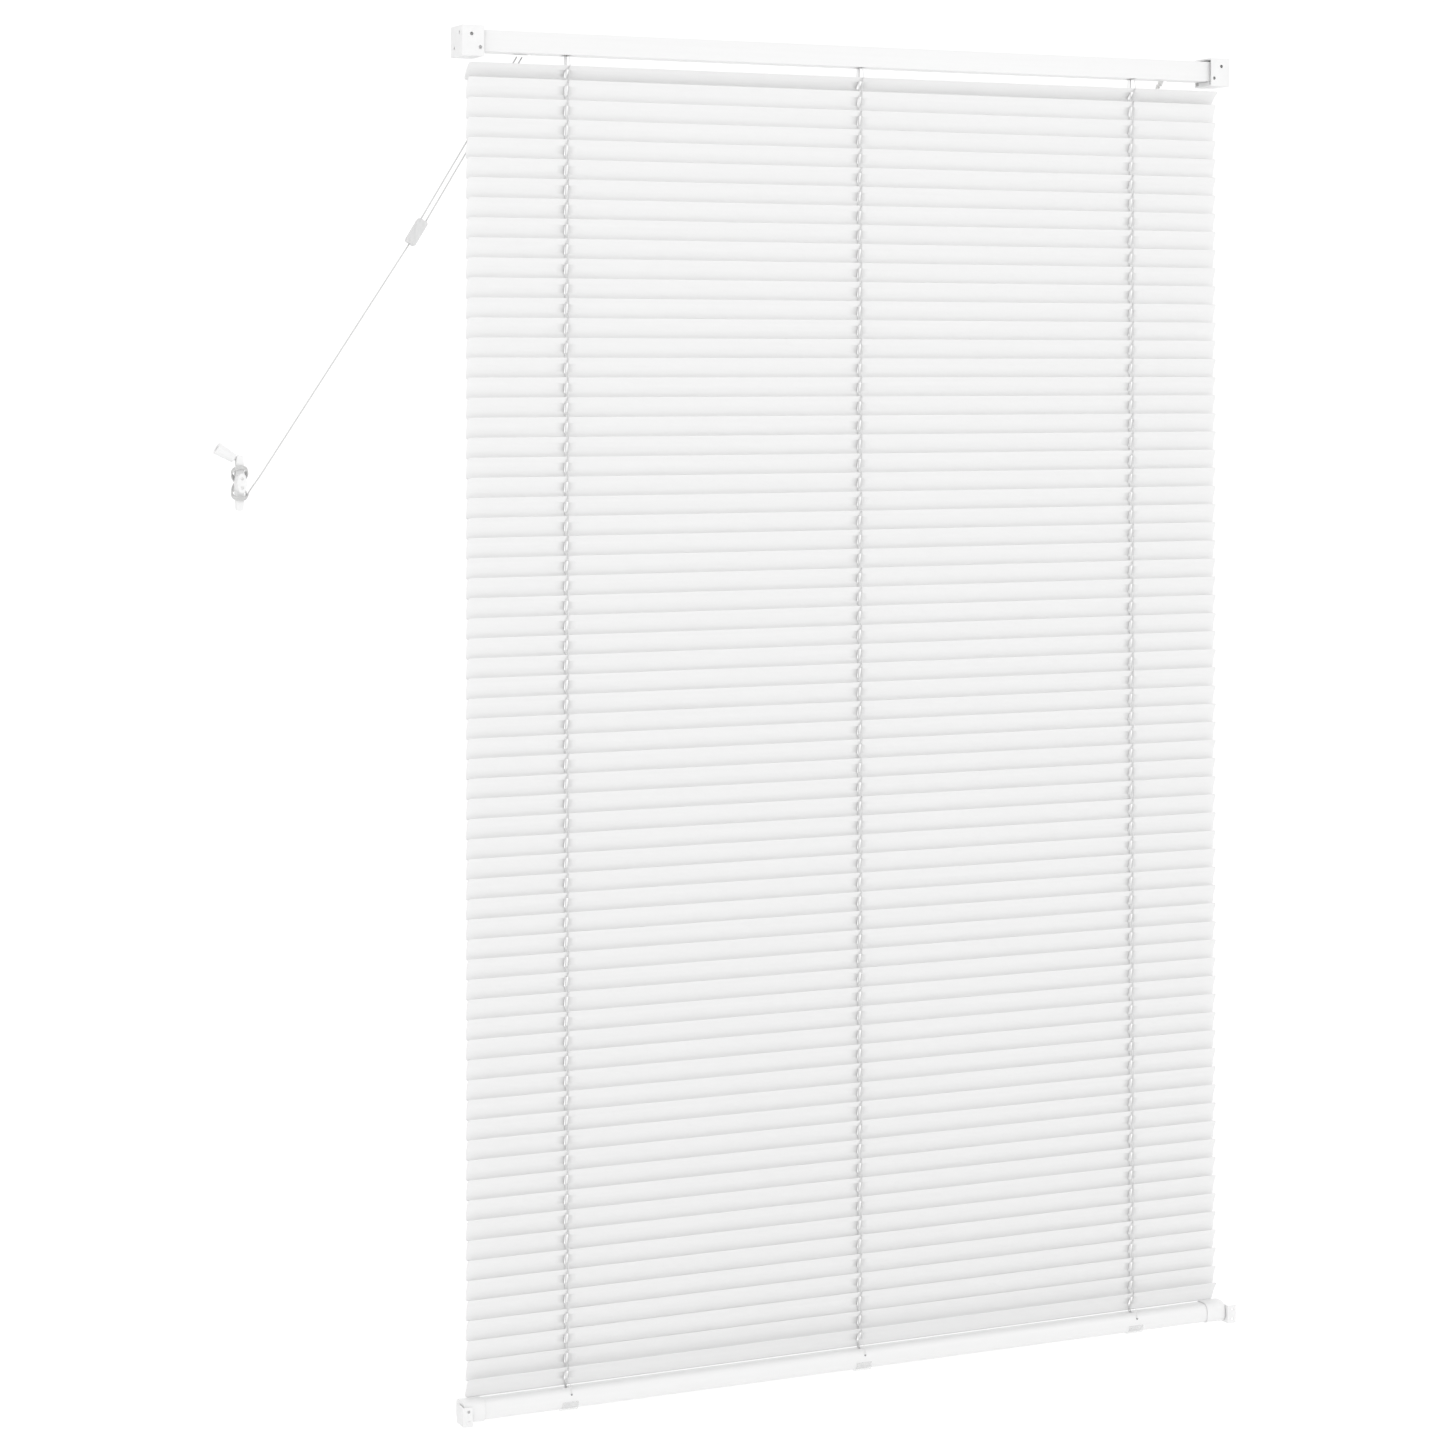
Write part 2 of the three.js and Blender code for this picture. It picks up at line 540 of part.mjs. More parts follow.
// The tail cord runs from the connector to the cleat, and the winding holds the rest of its length.
const windingTop = at(cleat.x + 8.8, 12, cleat.z - 13.4);
const tailStart = connectorTop.clone().addScaledVector(connectorAxis, connectorSize.length + gap);
const tailStop = windingTop.clone().addScaledVector(tailStart.clone().sub(windingTop).normalize(), 4);
add('tail_cord', cordAlong([tailStart, tailStop], cordDiameter, 16), cordWhite);

function cleatOutline(halfWidth, halfHeight, tipWidth) {
  const shape = new THREE.Shape();
  shape.moveTo(halfWidth, 0);
  shape.lineTo(tipWidth, halfHeight - tipWidth);
  shape.absarc(0, halfHeight - tipWidth, tipWidth, 0, Math.PI, false);
  shape.lineTo(-halfWidth, 0);
  shape.lineTo(-tipWidth, tipWidth - halfHeight);
  shape.absarc(0, tipWidth - halfHeight, tipWidth, Math.PI, 2 * Math.PI, false);
  return shape;
}

// Extrudes an upright outline from the wall side to the room side at the cleat.
function uprightPlate(shape, y0, y1) {
  const geometry = new THREE.ExtrudeGeometry(shape, {
    depth: y1 - y0, bevelEnabled: false, curveSegments: 6,
  });
  geometry.applyMatrix4(new THREE.Matrix4().makeBasis(at(1, 0, 0), at(0, 0, 1), at(0, -1, 0)));
  geometry.translate(cleat.x, y1, cleat.z);
  return solidOf(geometry);
}

const cleatPost = [cleat.x - 4.5, cleat.x + 4.5];
const cleatBody = join([
  uprightPlate(cleatOutline(6, 11, 4), 0, 3),
  block(...cleatPost, 2.5, cleat.barY0 + 0.5, cleat.z - 8, cleat.z + 8),
  uprightPlate(cleatOutline(cleat.barWidth / 2, cleat.height / 2, 4), cleat.barY0, cleat.barY1),
]);
const cleatScrewHoles = [-5, 5].map((dz) =>
  rodBetween(at(cleat.x, -1, cleat.z + dz), at(cleat.x, cleat.barY1 + 1, cleat.z + dz), 1.7, 12));
add('cord_cleat', cut(cleatBody, cleatScrewHoles), bracketPlastic);

function capsule(halfWidth, halfHeight) {
  const shape = new THREE.Shape();
  shape.moveTo(halfWidth, halfWidth - halfHeight);
  shape.lineTo(halfWidth, halfHeight - halfWidth);
  shape.absarc(0, halfHeight - halfWidth, halfWidth, 0, Math.PI, false);
  shape.lineTo(-halfWidth, halfWidth - halfHeight);
  shape.absarc(0, halfWidth - halfHeight, halfWidth, Math.PI, 2 * Math.PI, false);
  return shape;
}

add('cleat_winding', cut(uprightPlate(capsule(10, 21), 3.6, 19.6), [
  uprightPlate(cleatOutline(cleat.barWidth / 2 + gap, cleat.height / 2 + gap, 4 + gap),
    cleat.barY0 - gap, cleat.barY1 + gap),
  block(cleatPost[0] - gap, cleatPost[1] + gap, 0, cleat.barY0, cleat.z - 8.3, cleat.z + 8.3),
]), cordWhite);

const tasselTop = at(cleat.x - 6.2, 12, cleat.z + 27.5);
const tasselAxis = at(-0.866, 0, 0.5);
const tasselEnd = tasselTop.clone().addScaledVector(tasselAxis, tassel.length);
const tasselBell = rodBetween(tasselTop, tasselEnd, tassel.smallRadius, 16, tassel.bigRadius);
const tasselBore = rodBetween(
  tasselTop.clone().addScaledVector(tasselAxis, 6), tasselEnd.clone().addScaledVector(tasselAxis, 1), 3.5, 12,
);
add('cord_tassel', cut(tasselBell, [tasselBore]), bracketPlastic);

export default blind;
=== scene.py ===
import json
from math import cos, pi, radians, sin, tau

import bmesh
import bpy
from mathutils import Matrix, Vector


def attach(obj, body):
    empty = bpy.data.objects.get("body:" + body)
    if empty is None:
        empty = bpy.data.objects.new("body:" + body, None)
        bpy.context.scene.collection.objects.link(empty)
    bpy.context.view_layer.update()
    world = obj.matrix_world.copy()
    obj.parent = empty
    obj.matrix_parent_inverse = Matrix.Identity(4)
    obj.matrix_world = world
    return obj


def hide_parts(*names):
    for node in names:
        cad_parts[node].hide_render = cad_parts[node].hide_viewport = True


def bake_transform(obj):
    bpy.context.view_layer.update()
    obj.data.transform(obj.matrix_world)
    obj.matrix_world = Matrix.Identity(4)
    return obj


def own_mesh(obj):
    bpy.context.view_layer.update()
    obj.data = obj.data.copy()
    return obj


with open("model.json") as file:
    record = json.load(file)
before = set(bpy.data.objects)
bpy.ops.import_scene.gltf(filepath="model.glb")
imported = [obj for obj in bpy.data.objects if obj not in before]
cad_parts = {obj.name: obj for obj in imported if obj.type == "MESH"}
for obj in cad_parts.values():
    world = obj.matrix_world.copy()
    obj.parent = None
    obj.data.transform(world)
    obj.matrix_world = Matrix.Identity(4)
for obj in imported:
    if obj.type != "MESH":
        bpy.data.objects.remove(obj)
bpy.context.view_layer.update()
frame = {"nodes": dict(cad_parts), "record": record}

# ---- driving sizes, in millimetres, in the CAD frame ----
MM = 0.001
SLAT_LENGTH = 1000
SLAT_WIDTH = 27
HALF_WIDTH = SLAT_WIDTH / 2
SLAT_CROWN = 1.9
SLAT_THICKNESS = 0.26
SLAT_PITCH = 22.9
SLAT_COUNT = 67
SECOND_SLAT_TOP = -57
TOP_SLAT_Z = -50
CLOSED_TILT = 72
TOP_TILT = 45
BOTTOM_TILT = 62
BOTTOM_SLAT_RISE = 2.2
BLIND_Y = 18
GROUP_FIRST_SLAT = (2, 8, 14, 20, 26, 33, 40, 47, 54, 61)
LADDER_X = (-378, 0, 378)
LADDER_NAMES = ("left", "centre", "right")
NEAR_Y = 11.5
FAR_Y = 21.9
STRING = 0.75
STRING_SIDE = 0.5
RUNG = 0.6
LIFT_CORD = 1.5
LIFT_CORD_Y = 18.4
HEADRAIL_BOTTOM = -29
BOTTOM_RAIL_TOP = -1569
STRING_HOLE = (2.0, 5.2, -1574.5)
STRING_HOLE_WIDTH = 2.3
CORD = 1.6
CLEAT_X = -768.3
CLEAT_Z = -518


def mm(x, y, z):
    return Vector((x * MM, y * MM, z * MM))


# ---- camera: level, so that uprights stay parallel, with the view shifted down to the blind ----
CAMERA_HEADING = radians(-24)
camera_data = bpy.data.cameras.new("camera")
camera = bpy.data.objects.new("camera", camera_data)
bpy.context.scene.collection.objects.link(camera)
bpy.context.scene.camera = camera
camera.location = mm(-1776.5, -3567.8, -395.8)
camera.rotation_euler = (radians(90), 0, CAMERA_HEADING)
camera_data.sensor_width = 36
camera_data.lens = 82.8
camera_data.shift_y = -0.242
camera_data.clip_end = 50


# ---- materials ----
def new_material(name, color, roughness, metallic=0.0):
    material = bpy.data.materials.new(name)
    material.use_nodes = True
    shader = material.node_tree.nodes["Principled BSDF"]
    shader.inputs["Base Color"].default_value = (*color, 1)
    shader.inputs["Roughness"].default_value = roughness
    shader.inputs["Metallic"].default_value = metallic
    return material, material.node_tree, shader


def texture(tree, kind, coordinates="Object", scale=(1, 1, 1), **inputs):
    """A texture node on scaled coordinates, so that a grain can be longer one way."""
    place = tree.nodes.new("ShaderNodeTexCoord")
    mapping = tree.nodes.new("ShaderNodeMapping")
    mapping.inputs["Scale"].default_value = scale
    node = tree.nodes.new(kind)
    tree.links.new(place.outputs[coordinates], mapping.inputs["Vector"])
    tree.links.new(mapping.outputs["Vector"], node.inputs["Vector"])
    for name, value in inputs.items():
        node.inputs[name].default_value = value
    return node


def ramp(tree, source, low, high, start=0.35, stop=0.65):
    node = tree.nodes.new("ShaderNodeValToRGB")
    node.color_ramp.elements[0].position = start
    node.color_ramp.elements[1].position = stop
    node.color_ramp.elements[0].color = (*low, 1)
    node.color_ramp.elements[1].color = (*high, 1)
    tree.links.new(source, node.inputs["Fac"])
    return node.outputs["Color"]


def number_range(tree, source, low, high):
    node = tree.nodes.new("ShaderNodeMapRange")
    node.inputs["To Min"].default_value = low
    node.inputs["To Max"].default_value = high
    tree.links.new(source, node.inputs["Value"])
    return node.outputs["Result"]


def bump(tree, shader, height, strength, distance, under=None):
    node = tree.nodes.new("ShaderNodeBump")
    node.inputs["Strength"].default_value = strength
    node.inputs["Distance"].default_value = distance
    tree.links.new(height, node.inputs["Height"])
    if under is not None:
        tree.links.new(under, node.inputs["Normal"])
    tree.links.new(node.outputs["Normal"], shader.inputs["Normal"])
    return node.outputs["Normal"]


def enamel(name, light, dark, roughness, coat):
    """Stove enamel on metal: a fine orange peel, faint streaks along the strip, and a thin gloss coat."""
    material, tree, shader = new_material(name, light, roughness)
    streaks = texture(tree, "ShaderNodeTexNoise", scale=(3, 260, 260), Scale=1.0, Detail=4.0)
    colour = ramp(tree, streaks.outputs["Fac"], dark, light)
    tree.links.new(colour, shader.inputs["Base Color"])
    patches = texture(tree, "ShaderNodeTexNoise", Scale=35.0, Detail=3.0)
    rough = number_range(tree, patches.outputs["Fac"], roughness - 0.06, roughness + 0.08)
    tree.links.new(rough, shader.inputs["Roughness"])
    peel = texture(tree, "ShaderNodeTexNoise", Scale=900.0, Detail=2.0)
    bump(tree, shader, peel.outputs["Fac"], 0.10, 0.0002)
    shader.inputs["Coat Weight"].default_value = coat
    shader.inputs["Coat Roughness"].default_value = 0.22
    return material


def moulded(name, light, dark, roughness):
    """Injection-moulded plastic: spark-eroded grain and a little unevenness of tone."""
    material, tree, shader = new_material(name, light, roughness)
    cloud = texture(tree, "ShaderNodeTexNoise", Scale=60.0, Detail=4.0)
    tree.links.new(ramp(tree, cloud.outputs["Fac"], dark, light), shader.inputs["Base Color"])
    rough = number_range(tree, cloud.outputs["Fac"], roughness - 0.07, roughness + 0.09)
    tree.links.new(rough, shader.inputs["Roughness"])
    grain = texture(tree, "ShaderNodeTexVoronoi", Scale=2200.0)
    bump(tree, shader, grain.outputs["Distance"], 0.12, 0.0002)
    shader.inputs["Subsurface Weight"].default_value = 0.05
    shader.inputs["Subsurface Radius"].default_value = (0.004, 0.004, 0.004)
    return material


def clear(name, tint, roughness, alpha):
    """Clear acrylic, kept part see-through, with fine flow marks."""
    material, tree, shader = new_material(name, tint, roughness)
    flow = texture(tree, "ShaderNodeTexNoise", scale=(1, 1, 0.2), Scale=420.0, Detail=3.0)
    opacity = number_range(tree, flow.outputs["Fac"], alpha - 0.08, alpha + 0.08)
    tree.links.new(opacity, shader.inputs["Alpha"])
    colour = ramp(tree, flow.outputs["Fac"], [c * 0.96 for c in tint], tint)
    tree.links.new(colour, shader.inputs["Base Color"])
    bump(tree, shader, flow.outputs["Fac"], 0.15, 0.0003)
    shader.inputs["IOR"].default_value = 1.49
    return material


def braid(name, light, dark, pitch):
    """A braided cord: two crossing sets of plaits, painted darker between the yarns as shade in the
    grooves, with a soft sheen.
    """
    material, tree, shader = new_material(name, light, 0.8)
    heights = []
    for lean in (1, -1):
        wave = texture(tree, "ShaderNodeTexWave", scale=(1, 1, lean), Scale=pitch, Distortion=0.6)
        wave.bands_direction = "DIAGONAL"
        heights.append(wave.outputs["Fac"])
    plait = tree.nodes.new("ShaderNodeMath")
    plait.operation = "MAXIMUM"
    tree.links.new(heights[0], plait.inputs[0])
    tree.links.new(heights[1], plait.inputs[1])
    # painted shade: the colour darkens where the plait height is low, in the grooves between the yarns
    tree.links.new(ramp(tree, plait.outputs[0], dark, light, 0.3, 0.8), shader.inputs["Base Color"])
    fuzz = texture(tree, "ShaderNodeTexNoise", Scale=4500.0, Detail=2.0)
    under = bump(tree, shader, plait.outputs[0], 0.6, 0.0003)
    bump(tree, shader, fuzz.outputs["Fac"], 0.25, 0.0001, under)
    shader.inputs["Sheen Weight"].default_value = 0.3
    shader.inputs["Sheen Roughness"].default_value = 0.4
    return material


def plated(name, light, dark, roughness):
    """Zinc-plated steel with fine drawing lines along X."""
    material, tree, shader = new_material(name, light, roughness, 1.0)
    lines = texture(tree, "ShaderNodeTexNoise", scale=(8, 900, 900), Scale=1.0, Detail=4.0)
    tree.links.new(ramp(tree, lines.outputs["Fac"], dark, light), shader.inputs["Base Color"])
    rough = number_range(tree, lines.outputs["Fac"], roughness - 0.08, roughness + 0.12)
    tree.links.new(rough, shader.inputs["Roughness"])
    bump(tree, shader, lines.outputs["Fac"], 0.1, 0.0001)
    return material


SLAT = enamel("slat_enamel", (0.805, 0.805, 0.805), (0.795, 0.795, 0.795), 0.42, 0.15)
RAIL = enamel("rail_enamel", (0.80, 0.80, 0.80), (0.79, 0.79, 0.79), 0.40, 0.2)
PLASTIC = moulded("bracket_plastic", (0.81, 0.81, 0.81), (0.79, 0.79, 0.79), 0.48)
INNER = moulded("mechanism_plastic", (0.80, 0.80, 0.79), (0.77, 0.77, 0.76), 0.55)
# painted shade: a dark colour that stands for the shaded inside of the string holes
SHADE = moulded("painted_hole_shade", (0.22, 0.22, 0.22), (0.18, 0.18, 0.18), 0.7)
CLEAR = clear("clear_plastic", (0.76, 0.77, 0.77), 0.12, 0.55)
SMOKED = clear("connector_plastic", (0.70, 0.70, 0.70), 0.2, 0.85)
FAINT = clear("clip_plastic", (0.84, 0.84, 0.84), 0.25, 0.25)
CORD_WHITE = braid("cord", (0.68, 0.68, 0.675), (0.54, 0.54, 0.535), 900.0)
LIFT_WHITE = braid("lift_cord", (0.86, 0.86, 0.86), (0.74, 0.74, 0.74), 900.0)
STRING_WHITE = braid("ladder_string", (0.84, 0.84, 0.84), (0.70, 0.70, 0.70), 1300.0)
STEEL = plated("zinc_steel", (0.62, 0.63, 0.65), (0.5, 0.51, 0.53), 0.32)


# ---- mesh helpers ----
def new_object(name, mesh, material):
    obj = bpy.data.objects.new(name, mesh)
    bpy.context.scene.collection.objects.link(obj)
    if not mesh.materials:
        mesh.materials.append(material)
    return obj


def mesh_of(name, vertices, faces, smooth=True):
    mesh = bpy.data.meshes.new(name)
    mesh.from_pydata([tuple(v) for v in vertices], [], faces)
    mesh.validate()
    if smooth:
        mesh.polygons.foreach_set("use_smooth", [True] * len(mesh.polygons))
    mesh.update()
    return mesh


def tube_parts(points, radius, sides=10, closed_ends=True):
    """Vertices and faces of a round tube along points, its section carried along without twist."""
    count = len(points)
    vertices = []
    side = None
    for i, point in enumerate(points):
        before = points[max(i - 1, 0)]
        after = points[min(i + 1, count - 1)]
        along = (after - before).normalized()
        if side is None:
            start = Vector((0, 1, 0)) if abs(along.y) < 0.9 else Vector((1, 0, 0))
            side = along.cross(start).normalized()
        side = (side - along * side.dot(along)).normalized()
        up = along.cross(side)
        for k in range(sides):
            angle = tau * k / sides
            vertices.append(point + side * radius * cos(angle) + up * radius * sin(angle))
    faces = []
    for i in range(count - 1):
        for k in range(sides):
            a, b = i * sides + k, i * sides + (k + 1) % sides
            faces.append((a, b, b + sides, a + sides))
    if closed_ends:
        faces.append(tuple(reversed(range(sides))))
        faces.append(tuple(range((count - 1) * sides, count * sides)))
    return vertices, faces


def tubes(name, routes, diameter, material, sides=10):
    """One object of several tubes, each along its own route of points in metres."""
    vertices, faces = [], []
    for route in routes:
        new_vertices, new_faces = tube_parts(route, diameter * MM / 2, sides)
        base = len(vertices)
        vertices += new_vertices
        faces += [tuple(base + i for i in face) for face in new_faces]
    return new_object(name, mesh_of(name, vertices, faces), material)


def straight(start, end, count):
    return [start.lerp(end, i / (count - 1)) for i in range(count)]


# ---- free cords: the pull cords, the tail and its winding on the cleat ----
CONNECTOR_TOP = mm(-547.6, 31, -222)
CONNECTOR_END = mm(-566.4, 30, -252)
CONNECTOR_AXIS = (CONNECTOR_END - CONNECTOR_TOP).normalized()
CONNECTOR_LENGTH = 32
PULL_CORDS = (
    ("pull_cord_a", mm(-432.6, 35, -31), mm(-550.2, 31, -220.3)),
    ("pull_cord_b", mm(-426, 35, -31), mm(-544.6, 31, -223.4)),
)
PULL_CORD_INSET = 3
WINDING_TURNS = 6.625
WINDING_START = 0.625
WINDING_SIDE = 8.6
WINDING_HEIGHT = 19.2
CLEAT_BACK_Y = 6.2
CLEAT_FRONT_Y = 18.6
STEPS_A_TURN = 40
LAYER_DEPTH = 0.5
LAYER_DEPTH_IN_FRONT = 0.3
LAYER_NARROWER = 0.35
LAYER_SHORTER = 1.1
LAYER_HIGHER = 1.2


def winding_route():
    """Figure-eight turns: behind the horns at the top and bottom, and crossing in front at the middle."""
    route = []
    for i in range(round(WINDING_TURNS * STEPS_A_TURN) + 1):
        turn = i / STEPS_A_TURN
        angle = tau * (WINDING_START - turn)
        layer = turn - WINDING_TURNS / 2
        front = 0.5 - 0.5 * cos(2 * angle)
        depth = CLEAT_BACK_Y + (CLEAT_FRONT_Y - CLEAT_BACK_Y) * front
        side = WINDING_SIDE - LAYER_NARROWER * layer * front
        lift = WINDING_HEIGHT - LAYER_SHORTER * abs(layer)
        route.append(mm(
            CLEAT_X + side * sin(2 * angle),
            depth + layer * (LAYER_DEPTH + LAYER_DEPTH_IN_FRONT * front),
            CLEAT_Z + lift * cos(angle) + LAYER_HIGHER * layer * front,
        ))
    return route


def bridge(start, leaving, end, arriving, steps):
    """Points on a smooth curve that leaves one way and arrives another, without its two ends."""
    reach = (end - start).length
    route = []
    for i in range(1, steps):
        t = i / steps
        route.append(start * (2 * t ** 3 - 3 * t ** 2 + 1) + leaving * reach * (t ** 3 - 2 * t ** 2 + t)
                     + end * (3 * t ** 2 - 2 * t ** 3) + arriving * reach * (t ** 3 - t ** 2))
    return route


LEAD_RADIUS = 4.0
LEAD_RISE = radians(85)
LEAD_STEPS = 40
TASSEL_RISE = radians(30)


def lead_route(start, end):
    """From the last turn, up and round to the tassel: one bend, a straight rise and one bend back."""
    bend_up = LEAD_RADIUS * LEAD_RISE
    bend_back = LEAD_RADIUS * (LEAD_RISE - TASSEL_RISE)
    climbed = LEAD_RADIUS * (1 - cos(LEAD_RISE)) + LEAD_RADIUS * (cos(TASSEL_RISE) - cos(LEAD_RISE))
    rise = ((end - start).z / MM - climbed) / sin(LEAD_RISE)
    total = bend_up + rise + bend_back
    x, z = 0.0, 0.0
    route = []
    for i in range(1, LEAD_STEPS + 1):
        gone = total * (i - 0.5) / LEAD_STEPS
        heading = min(gone / LEAD_RADIUS, LEAD_RISE, TASSEL_RISE + (total - gone) / LEAD_RADIUS)
        x -= cos(heading) * total / LEAD_STEPS
        z += sin(heading) * total / LEAD_STEPS
        t = i / LEAD_STEPS
        y = (end - start).y * (3 * t ** 2 - 2 * t ** 3)
        route.append(start + mm(x, 0, z) + Vector((0, y, 0)))
    return route


WINDING = winding_route()
TAIL_START = CONNECTOR_TOP + CONNECTOR_AXIS * (CONNECTOR_LENGTH + 0.3) * MM
TASSEL_TOP = mm(CLEAT_X - 6.2, 12, CLEAT_Z + 27.5)
TASSEL_AXIS = Vector((-0.866, 0, 0.5))
TASSEL_INSET = (1.5, 3.0, 4.5)
TAIL_BEND = 24
TAIL_WAY = (WINDING[0] - TAIL_START).normalized()
TAIL_JOIN = WINDING[0] - TAIL_WAY * TAIL_BEND * MM
WINDING_WAY = (WINDING[1] - WINDING[0]).normalized()
LEAD = lead_route(WINDING[-1], TASSEL_TOP)
TAIL_ROUTE = (straight(TAIL_START, TAIL_JOIN, 20) + bridge(TAIL_JOIN, TAIL_WAY, WINDING[0], WINDING_WAY, 16)
              + WINDING + LEAD + [LEAD[-1] + TASSEL_AXIS * d * MM for d in TASSEL_INSET])

for name, start, end in PULL_CORDS:
    route = straight(start, end + (end - start).normalized() * PULL_CORD_INSET * MM, 20)
    piece = tubes(name + "_braid", [route], CORD, CORD_WHITE, 12)
    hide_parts(name)
    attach(piece, "root")
tail_piece = tubes("tail_cord_braid", [TAIL_ROUTE], CORD, CORD_WHITE, 12)
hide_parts("tail_cord", "cleat_winding")
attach(tail_piece, "root")


# ---- slats ----
def slat_frame(number):
    """How a slat lies: its centre, its direction across and its crown's direction."""
    tilt = radians({1: TOP_TILT, SLAT_COUNT: BOTTOM_TILT}.get(number, CLOSED_TILT))
    top = SECOND_SLAT_TOP - SLAT_PITCH * (number - 2)
    rise = BOTTOM_SLAT_RISE if number == SLAT_COUNT else 0
    z = TOP_SLAT_Z if number == 1 else top - HALF_WIDTH * sin(tilt) + rise
    across = Vector((0, cos(tilt), -sin(tilt)))
    crown = Vector((0, sin(tilt), cos(tilt)))
    return Vector((0, BLIND_Y, z)), across, crown


def crown_height(s):
    """How far the slat's middle surface stands off its flat middle, at a distance across it."""
    return SLAT_CROWN * (1 - (2 * s / SLAT_WIDTH) ** 2) - SLAT_CROWN * CROWN_SHARE_BELOW


CROWN_SHARE_BELOW = 0.6
SLOT_HALF = (2.1, 6.2)
SLOT_CORNER = 1.1
END_RADIUS = 3.2
LADDER_HALF = 14
PLAIN_STATIONS = (100, 200, 300, 440)


def slat_stations():
    """Where the slat's mesh is divided, along it and across it."""
    half = SLAT_LENGTH / 2
    along = {-half, half}
    for step in (0.3, 1.0, 2.0, END_RADIUS):
        along |= {-half + step, half - step}
    for x in LADDER_X:
        along |= {x + d for d in (-LADDER_HALF, -SLOT_HALF[0], SLOT_CORNER - SLOT_HALF[0], 0)}
        along |= {x + d for d in (LADDER_HALF, SLOT_HALF[0], SLOT_HALF[0] - SLOT_CORNER)}
    for x in PLAIN_STATIONS:
        along |= {-x, x}
    across = {HALF_WIDTH, 12, 9.5, SLOT_HALF[1] - SLOT_CORNER, SLOT_HALF[1], 3.6, 1.8, 0}
    across |= {-s for s in across}
    return sorted(along), sorted(across)


def slat_sheet(number):
    """Vertices and faces of the thin crowned strip, with its slots punched and its corners rounded."""
    centre, across, crown = slat_frame(number)
    along_at, across_at = slat_stations()
    rows = len(across_at)
    vertices = []
    for x in along_at:
        inset = max(0.0, abs(x) - (SLAT_LENGTH / 2 - END_RADIUS))
        trim = END_RADIUS - (END_RADIUS ** 2 - inset ** 2) ** 0.5
        narrow = (HALF_WIDTH - trim) / HALF_WIDTH
        for s in across_at:
            place = centre + across * s * narrow + crown * crown_height(s * narrow)
            vertices.append((place + Vector((x, 0, 0))) * MM)
    faces = []
    for i in range(len(along_at) - 1):
        x = (along_at[i] + along_at[i + 1]) / 2
        for j in range(rows - 1):
            s = (across_at[j] + across_at[j + 1]) / 2
            a, b, c, d = i * rows + j, (i + 1) * rows + j, (i + 1) * rows + j + 1, i * rows + j + 1
            slot = min(abs(x - ladder) for ladder in LADDER_X)
            inside = slot < SLOT_HALF[0] and abs(s) < SLOT_HALF[1]
            corner = slot > SLOT_HALF[0] - SLOT_CORNER and abs(s) > SLOT_HALF[1] - SLOT_CORNER
            if not inside:
                faces.append((a, b, c, d))
            elif corner:
                ladder = min(LADDER_X, key=lambda value: abs(x - value))
                left, low = x < ladder, s < 0
                keep = {(True, True): (a, b, d), (False, True): (a, b, c),
                        (True, False): (a, c, d), (False, False): (b, c, d)}
                faces.append(keep[left, low])
    return vertices, faces


RUNG_STEPS = 18
RUNG_SPREAD = 2.35
RUNG_KNOT = 8.6
RUNG_OPENING = 2.4
RUNG_CLOSED = 0.3
RUNG_REACH = 14.9
RUNG_STRAIGHT = 6.5
RUNG_DROP = 0.68


def rung_routes(number):
    """The rungs under a slat: two strings at each ladder, round the slot and knotted together beyond it."""
    centre, across, crown = slat_frame(number)
    routes = []
    for x in LADDER_X:
        for side in (-1, 1):
            route = []
            for i in range(RUNG_STEPS + 1):
                s = RUNG_REACH * (2 * i / RUNG_STEPS - 1)
                opened = min(1.0, max(0.0, (RUNG_KNOT - abs(s)) / RUNG_OPENING)) ** 0.5
                aside = STRING_SIDE * max(0.0, (abs(s) - RUNG_STRAIGHT) / (RUNG_REACH - RUNG_STRAIGHT))
                below = crown_height(min(max(s, -HALF_WIDTH), HALF_WIDTH)) - RUNG_DROP
                place = centre + across * s + crown * below
                spread = side * (RUNG_CLOSED + (RUNG_SPREAD - RUNG_CLOSED) * opened)
                route.append((place + Vector((x + aside + spread, 0, 0))) * MM)
            routes.append(route)
    return routes


def make_slat(number):
    """A slat with its rungs, baked in place."""
    vertices, faces = slat_sheet(number)
    mesh = mesh_of(f"slat_{number:02d}", vertices, faces)
    obj = new_object(f"slat_{number:02d}", mesh, SLAT)
    solidify = obj.modifiers.new("thickness", "SOLIDIFY")
    solidify.thickness = SLAT_THICKNESS * MM
    solidify.offset = 0
    bpy.context.view_layer.update()
    depsgraph = bpy.context.evaluated_depsgraph_get()
    thick = bpy.data.meshes.new_from_object(obj.evaluated_get(depsgraph))
    obj.modifiers.clear()
    obj.data = thick
    thick.materials.append(STRING_WHITE)
    rungs = bmesh.new()
    rungs.from_mesh(thick)
    for route in rung_routes(number):
        new_vertices, new_faces = tube_parts(route, RUNG * MM / 2, 6)
        made = [rungs.verts.new(v) for v in new_vertices]
        for face in new_faces:
            new_face = rungs.faces.new([made[i] for i in face])
            new_face.material_index = 1
            new_face.smooth = True
    rungs.to_mesh(thick)
    rungs.free()
    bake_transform(obj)
    return obj


GROUPS = []
for index, first in enumerate(GROUP_FIRST_SLAT):
    last = GROUP_FIRST_SLAT[index + 1] - 1 if index + 1 < len(GROUP_FIRST_SLAT) else SLAT_COUNT
    numbers = ([1] if index == 0 else []) + list(range(first, last + 1))
    GROUPS.append((index + 1, numbers))
for group, numbers in GROUPS:
    for number in numbers:
        made = make_slat(number)
        if number == numbers[0]:
            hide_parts(f"slats_{group:02d}")


# ---- ladder strings ----
def edge(number, s, out=0.0):
    """A point just outside a slat's edge, as (y, z)."""
    centre, across, crown = slat_frame(number)
    place = centre + across * (s + out * (1 if s > 0 else -1)) + crown * crown_height(s)
    return place.y, place.z


